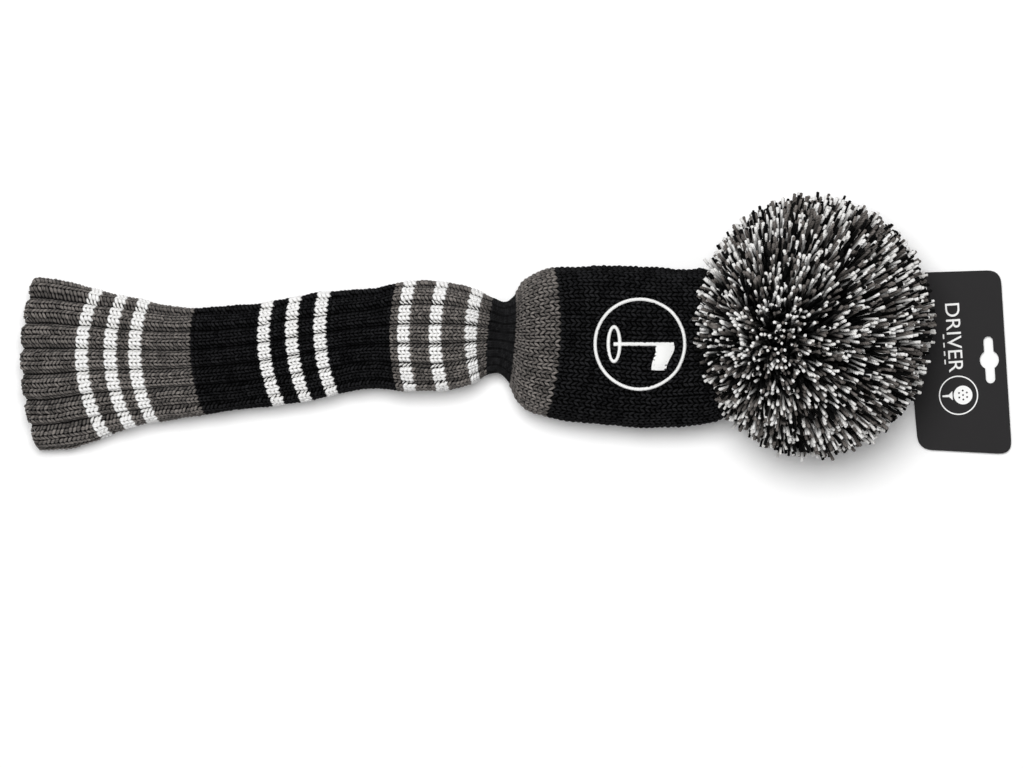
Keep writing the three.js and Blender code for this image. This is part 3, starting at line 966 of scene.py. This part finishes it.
def makeBadge():
    ring = satinRing(0, 0, badge["outer"], badge["outer"], badge["line"])
    hole = satinRing(*badge["hole"])
    foot, tip, wide = badge["pin"]
    up = np.arange(foot, tip, badge["apart"])
    pin = [np.stack([np.full(len(up), side * wide / 2), up], axis=-1) for side in (-1, 1)]
    across = np.arange(*badge["flag"], badge["apart"])
    flag = []
    for curve in (badge["flagTop"], badge["flagFoot"]):
        points = bezier(curve, np.linspace(0, 1, 60))
        flag.append(np.stack([across, np.interp(across, points[:, 0], points[:, 1])], axis=-1))
    tree = threadTree()
    for name, node, groups in (("badge_ring_threads", "badge_ring", (ring,)),
                               ("badge_flag_threads", "badge_emblem", (hole, pin, flag))):
        first = np.concatenate([a for a, b in groups])
        last = np.concatenate([b for a, b in groups])
        ends = np.stack([first, last], axis=1).reshape(-1, 2)
        above = np.full(len(ends), badge["above"])
        points = np.stack([badge["x"] + ends[:, 1], badge["y"] - ends[:, 0], above], axis=-1)
        mesh = bpy.data.meshes.new(name + "_lines")
        mesh.from_pydata([tuple(v) for v in points * mm], [(2 * i, 2 * i + 1) for i in range(len(first))], [])
        piece = tree.grow(
            name, newObject(name + "_lines", mesh), Surface=badgeGround, Lift=badge["lift"] * mm,
            Thickness=badge["thread"] * mm, Arch=badge["arch"] * mm, Thread=threadFinish)
        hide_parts(node)
        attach(piece, "head")
    print("badge stitched")


makeBadge()


# Tie: a twisted cord knotted behind the button, through the crown and round the middle of the pom-pom
tie = {
    "y": -10.5, "z": 24.0, "cord": (131.4, 146.0), "ply": 0.72, "apart": 0.7, "twist": 5.5,
    "knot": (131.1, 0.66, 0.72), "wrap": (145.2, 149.4), "coil": 0.82, "layers": (4.3, 2.7), "turns": 3,
}


def makeTie():
    parts = []

    def strung(along, across, up, thick):
        path = np.stack([along, tie["y"] + across, tie["z"] + up], axis=-1)
        parts.append(tubeAlong(path, np.full(len(along), thick), 8))

    along = np.linspace(*tie["cord"], 60)
    for start in (0, math.pi):
        turn = 2 * math.pi * (along - along[0]) / tie["twist"] + start
        strung(along, tie["apart"] * np.cos(turn), tie["apart"] * np.sin(turn), tie["ply"])
    place, size, thick = tie["knot"]
    t = np.linspace(0, 2 * math.pi, 80)
    reach = (2 + np.cos(3 * t)) * size
    strung(place + size * np.sin(3 * t), reach * np.cos(2 * t), reach * np.sin(2 * t), thick)
    for layer in tie["layers"]:
        t = np.linspace(0, tie["turns"], 90)
        along = np.interp(t, (0, tie["turns"]), tie["wrap"])
        strung(along, layer * np.cos(2 * math.pi * t), layer * np.sin(2 * math.pi * t), tie["coil"])
    vertices, faces, uv = joinedParts(parts)
    piece = meshObject("pom_tie_cord", vertices * mm, faces, uv * (1, 12), material=tieYarn)
    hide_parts("pom_tie")
    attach(piece, "head")
    print("tie made")


makeTie()


# Pom-pom: cut yarn ends standing out from the crown
pom = {
    "middle": (167.5, -0.8, 51.5), "halfX": 66.4, "halfY": 72.8, "up": 63.5, "down": 57.0, "lowerRound": 3.5,
    "core": (146.0, -10.0, 34.0), "packed": 0.66,  # the yarn grows out of the core, packed to this share
    "strands": 6400, "apart": 1.75, "thick": 0.8, "root": 0.5, "seed": 41,
    "tries": 60000, "lowest": 2.0, "floor": 0.4,
    "tufts": 620, "gathered": 0.42, "astray": 1.1, "trimmed": 0.26,
    "shapes": 7, "shapeLength": 50, "bend": 3.0, "sway": 1.8, "swelling": (0.75, 0.9, 0.97, 1.08, 1.12),
    "size": (0.85, 1.12), "bending": (118, 190),
    "cardFrom": 202.0, "cardTop": 3.4,
    "headRound": 2.4,
}


def pomReach(directions):
    # distance from the core to the trimmed outline along each direction
    core = np.array(pom["core"])
    low, high = np.zeros(len(directions)), np.full(len(directions), 200.0)
    for _ in range(26):
        middle = (low + high) / 2
        p = core + directions * middle[:, None] - np.array(pom["middle"])
        upper = (p[:, 0] / pom["halfX"]) ** 2 + (p[:, 1] / pom["halfY"]) ** 2 + (p[:, 2] / pom["up"]) ** 2
        power = pom["lowerRound"]
        flat = np.hypot(p[:, 0] / pom["halfX"], p[:, 1] / pom["halfY"])
        lower = flat ** power + np.abs(p[:, 2] / pom["down"]) ** power
        inside = np.where(p[:, 2] > 0, upper, lower) < 1
        low, high = np.where(inside, middle, low), np.where(inside, high, middle)
    return low


def insideHead(points, grown):
    # true where points lie inside the head, grown by a clearance
    x = points[:, 0]
    y, halfWide, halfTall, _, _ = profileAt(np.clip(x, 0, 142)).T
    past = np.maximum(0, x - tube["capStart"]) / (tube["capLength"] + grown)
    taper = np.sqrt(np.maximum(1e-6, 1 - past ** 2))
    across = np.abs(points[:, 1] - y) / ((halfWide + grown) * taper)
    up = np.abs(points[:, 2] - halfTall) / ((halfTall + grown) * taper)
    return (across ** pom["headRound"] + up ** pom["headRound"] < 1) & (past < 1)


def treeOf(points):
    tree = KDTree(len(points))
    for i, point in enumerate(points):
        tree.insert(point, i)
    tree.balance()
    return tree


def strandRoots():
    # tips spread evenly over the outline, each with the direction it grows in
    rng = np.random.default_rng(pom["seed"])
    core = np.array(pom["core"])
    directions = rng.normal(size=(pom["tries"], 3))
    directions /= np.linalg.norm(directions, axis=1)[:, None]
    reach = pomReach(directions)
    # a direction is kept in proportion to the area that it stands for
    keep = rng.random(len(reach)) < (reach / reach.max()) ** 2
    directions, reach = directions[keep], reach[keep]
    tips = core + directions * reach[:, None]
    middles = core + directions * reach[:, None] * 0.72
    good = (tips[:, 2] > pom["lowest"]) & ~insideHead(tips, 1.5) & ~insideHead(middles, 0.5)
    good &= ~((tips[:, 0] > pom["cardFrom"] - 2) & (tips[:, 2] < pom["cardTop"] + 1.5))
    tips, directions, reach = tips[good], directions[good], reach[good]
    chosen, tree = [], treeOf(tips)
    free = np.ones(len(tips), bool)
    for i, tip in enumerate(tips):
        if not free[i]:
            continue
        chosen.append(i)
        for _, other, _ in tree.find_range(tip, pom["apart"]):
            free[other] = False
        if len(chosen) >= pom["strands"]:
            break
    chosen = np.array(chosen)
    directions, reach = directions[chosen], reach[chosen]
    tips = core + directions * reach[:, None]
    # neighbouring ends cling together in tufts
    tree = treeOf(tips[:pom["tufts"]])
    tufts = np.array([tree.find(tip)[0] for tip in tips])
    tips += (tufts - tips) * pom["gathered"] + rng.normal(0, pom["astray"], tips.shape)
    roots = core + directions * (reach * pom["root"])[:, None]
    ways = tips - roots
    lengths = np.linalg.norm(ways, axis=1)
    ways /= lengths[:, None]
    trimmed = 1 - pom["trimmed"] * rng.random(len(reach)) ** 1.9  # most are cut to nearly the full length
    return roots, ways, lengths * trimmed, rng.random(len(reach))


def strandShapes():
    # a few cut ends of yarn, one metre long and bent differently
    rng = np.random.default_rng(pom["seed"] + 1)
    group = bpy.data.collections.new("strands")
    length = pom["shapeLength"] * mm
    for number in range(pom["shapes"]):
        t = np.array([0, 0.35, 0.65, 0.9, 1.0])
        bend, sway = rng.normal(0, pom["bend"] * mm, 2), rng.normal(0, pom["sway"] * mm, 2)
        path = np.stack([
            bend[0] * t ** 2 + sway[0] * np.sin(4.5 * t),
            bend[1] * t ** 2 + sway[1] * np.sin(5.5 * t),
            t * length,
        ], axis=-1)
        vertices, faces, uv = tubeAlong(path, pom["thick"] * mm * np.array(pom["swelling"]))
        vertices[:, 2] /= length
        strand = meshObject(f"strand_{number}", vertices, faces, uv)
        bpy.context.collection.objects.unlink(strand)
        group.objects.link(strand)
        unseen.append(strand)
    return group


def strandTree():
    # a cut end on every point whose pick lies between the two limits, resting on the floor and on the card
    g = Growth("yarn ends", {
        "Strands": "Collection", "From": "Float", "To": "Float", "Seed": "Int", "Yarn": "Material"})
    given = g.given
    pick = g.stored("pick", "FLOAT")
    inside = g.maths("MULTIPLY", g.maths("GREATER_THAN", pick, given["From"]),
                     g.maths("LESS_THAN", pick, given["To"]))
    shapes = g.node("GeometryNodeCollectionInfo", {}, {
        "Collection": given["Strands"], "Separate Children": True, "Reset Children": True})
    growing = g.stored("growing", "FLOAT_VECTOR")
    align = g.node("FunctionNodeAlignRotationToVector", {"axis": "Z"}, {"Vector": growing})
    turn = g.node("FunctionNodeAxisAngleToRotation", {}, {
        "Axis": (0, 0, 1), "Angle": g.random("FLOAT", 0.0, 6.28, given["Seed"])})
    spin = g.node("FunctionNodeRotateRotation", {"rotation_space": "LOCAL"}, [align, turn])
    which = g.random("INT", 0, pom["shapes"] - 1, given["Seed"])
    size = g.random("FLOAT", *pom["size"], given["Seed"])
    ends = g.node("GeometryNodeInstanceOnPoints", {}, {
        "Points": g.node("GeometryNodeMeshToPoints", {}, [given["Geometry"]]), "Selection": inside,
        "Instance": shapes, "Pick Instance": True, "Instance Index": which, "Rotation": spin,
        "Scale": g.combined(size, size, g.stored("length", "FLOAT"))})
    real = g.realised(ends, 9)
    x, y, z = g.separated(g.node("GeometryNodeInputPosition"))
    overCard = g.maths("MULTIPLY", g.maths("GREATER_THAN", x, pom["cardFrom"] * mm), pom["cardTop"] * mm)
    lowest = g.maths("MAXIMUM", overCard, pom["floor"] * mm)
    rested = g.moved(real, g.combined(x, y, g.maths("MAXIMUM", z, lowest)))
    g.finish(g.dressed(rested, given["Yarn"]))
    return g


def pomCore():
    # the inner yarn that closes the view between the strands, in the black ends' finish: its near black is
    # painted shade for the depth of the pom-pom
    rings, size = 40, 80
    ways = [(math.sin(a) * math.cos(b), math.sin(a) * math.sin(b), math.cos(a))
            for a in (math.pi * (i + 0.5) / rings for i in range(rings))
            for b in (2 * math.pi * k / size for k in range(size))]
    ways = np.array(ways + [(0, 0, 1), (0, 0, -1)])
    x, y, z = ways.T
    ripple = 1 + 0.05 * np.sin(9 * x + 4) * np.sin(11 * y) * np.sin(8 * z + 1)
    reach = pomReach(ways) * pom["packed"] * ripple
    points = np.array(pom["core"]) + ways * reach[:, None]
    points[:, 2] = np.maximum(points[:, 2], 2 * pom["lowest"])
    faces = [(a, d, c, b) for a, b, c, d in gridFaces(rings, size, True, False)]
    top = rings * size
    for k in range(size):
        n = (k + 1) % size
        faces.append((top, k, n))
        faces.append((top + 1, top - size + n, top - size + k))
    uv = ways[:, :2] * 6
    return meshObject("pom_core", points * mm, faces, uv, material=endsBlack)


def settlePom(piece):
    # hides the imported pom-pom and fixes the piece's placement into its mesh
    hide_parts("pom_pom")
    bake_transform(piece)


def makePom():
    roots, ways, lengths, picks = strandRoots()
    print("pom-pom strands:", len(roots))
    group = strandShapes()
    tree = strandTree()
    shares = (("pom_ends_black", 0.0, 0.37, endsBlack), ("pom_ends_grey", 0.37, 0.64, endsGrey),
              ("pom_ends_white", 0.64, 1.01, endsWhite))
    for number, (name, low, high, material) in enumerate(shares):
        mesh = bpy.data.meshes.new(name + "_points")
        mesh.from_pydata([tuple(p) for p in roots * mm], [], [])
        for label, kind, values in (("growing", "FLOAT_VECTOR", ways), ("length", "FLOAT", lengths * mm),
                                    ("pick", "FLOAT", picks)):
            layer = mesh.attributes.new(label, kind, "POINT")
            layer.data.foreach_set("vector" if kind == "FLOAT_VECTOR" else "value", values.ravel())
        host = newObject(name + "_points", mesh)
        piece = tree.grow(name, host, Strands=group, From=low, To=high, Seed=60 + number, Yarn=material)
        settlePom(piece)
    settlePom(pomCore())
    bpy.data.collections.remove(group)
    print("pom-pom made")


makePom()

# Card print: a plain word, four short bars and a ball on a tee, along and up in millimetres
cardPrint = {
    "middle": (252.0, -6.8), "turn": -86.3, "bottom": 1.98, "ink": 0.06,
    "word": "DRIVER", "wordSize": (39.6, 8.2), "bars": (-1.0, 13.6, 4, -6.05, 2.7, 0.8),
    "mark": (33.2, 0.4), "ring": (11.3, 10.6), "ball": (2.6, 5.4), "dimple": 0.55, "dimplesApart": 2.6,
    "tee": ((-2.6, -3.2), (-0.7, -5.2), (-0.5, -9.0), (0.5, -9.0), (0.7, -5.2), (2.6, -3.2)),
}


def flatMesh(name, data):
    # mesh of a filled curve
    data.extrude = cardPrint["ink"] / 2
    holder = newObject(name + "_outline", data)
    graph = bpy.context.evaluated_depsgraph_get()
    mesh = bpy.data.meshes.new_from_object(holder.evaluated_get(graph))
    bpy.data.objects.remove(holder)
    vertices = np.zeros(len(mesh.vertices) * 3)
    mesh.vertices.foreach_get("co", vertices)
    return mesh, vertices.reshape(-1, 3)


def printed(name, mesh, vertices):
    turn = math.radians(cardPrint["turn"])
    c, s = math.cos(turn), math.sin(turn)
    x, y = cardPrint["middle"]
    low = vertices[:, 2].min()
    along, up, over = vertices.T
    height = cardPrint["bottom"] + over - low
    places = np.stack([x + c * along - s * up, y + s * along + c * up, height], axis=-1)
    mesh.vertices.foreach_set("co", (places * mm).ravel())
    mesh.update()
    mesh.name = name
    mesh.materials.clear()
    mesh.materials.append(inkFinish)
    piece = newObject(name, mesh)
    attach(piece, "card")


def outline(data, points):
    spline = data.splines.new("POLY")
    spline.points.add(len(points) - 1)
    spline.use_cyclic_u = True
    for point, (x, y) in zip(spline.points, points):
        point.co = (x, y, 0, 1)


def circle(x, y, radius, count=48):
    turns = [2 * math.pi * k / count for k in range(count)]
    return [(x + radius * math.cos(t), y + radius * math.sin(t)) for t in turns]


def makePrint():
    word = bpy.data.curves.new("word", "FONT")
    word.body = cardPrint["word"]
    mesh, vertices = flatMesh("card_word", word)
    low, high = vertices.min(axis=0), vertices.max(axis=0)
    size = np.array(cardPrint["wordSize"]) / (high - low)[:2]
    vertices[:, :2] = (vertices[:, :2] - (low + high)[:2] / 2) * size
    printed("card_word", mesh, vertices)
    marks = bpy.data.curves.new("marks", "CURVE")
    marks.dimensions = "2D"
    marks.fill_mode = "BOTH"
    start, end, count, up, long, thick = cardPrint["bars"]
    for along in np.linspace(start, end, count):
        a, b, low, high = along - long / 2, along + long / 2, up - thick / 2, up + thick / 2
        outline(marks, [(a, low), (b, low), (b, high), (a, high)])
    x, y = cardPrint["mark"]
    for radius in cardPrint["ring"]:
        outline(marks, circle(x, y, radius))
    rise, radius = cardPrint["ball"]
    outline(marks, circle(x, y + rise, radius))
    for dimpleX, dimpleY in [(x, y + rise)] + circle(x, y + rise, cardPrint["dimplesApart"], 6):
        outline(marks, circle(dimpleX, dimpleY, cardPrint["dimple"], 12))
    outline(marks, [(x + a, y + b - 0.25) for a, b in cardPrint["tee"]])
    printed("card_marks", *flatMesh("card_marks", marks))
    print("card printed")


makePrint()

for helper in unseen:
    bpy.data.objects.remove(helper)


# Floor
def makeFloor():
    finish = Finish("studio_floor", Roughness=0.9, Specular_IOR_Level=0.1, Emission_Strength=0.06,
                    Emission_Color=colour("ffffff"))
    cloud = finish.noise(2.0, 2)
    finish.set("Base Color", finish.mixed(cloud, colour("fcfcfc"), colour("ffffff")))
    size = studio["floor"] / 2
    floor = meshObject("floor", [(-size, -size, 0), (size, -size, 0), (size, size, 0), (-size, size, 0)],
                       [(0, 1, 2, 3)], material=finish.material, smooth=False)
    floor.location.z = -0.0005


makeFloor()

# Plain moulded and cut pieces that need only a finish
cadFinishes = {"hang_card": cardFinish, "tag_pin": pinFinish, "crown_button": plasticFinish}
for name, material in cadFinishes.items():
    node = frame["nodes"][name]
    node.data.materials.clear()
    node.data.materials.append(material)
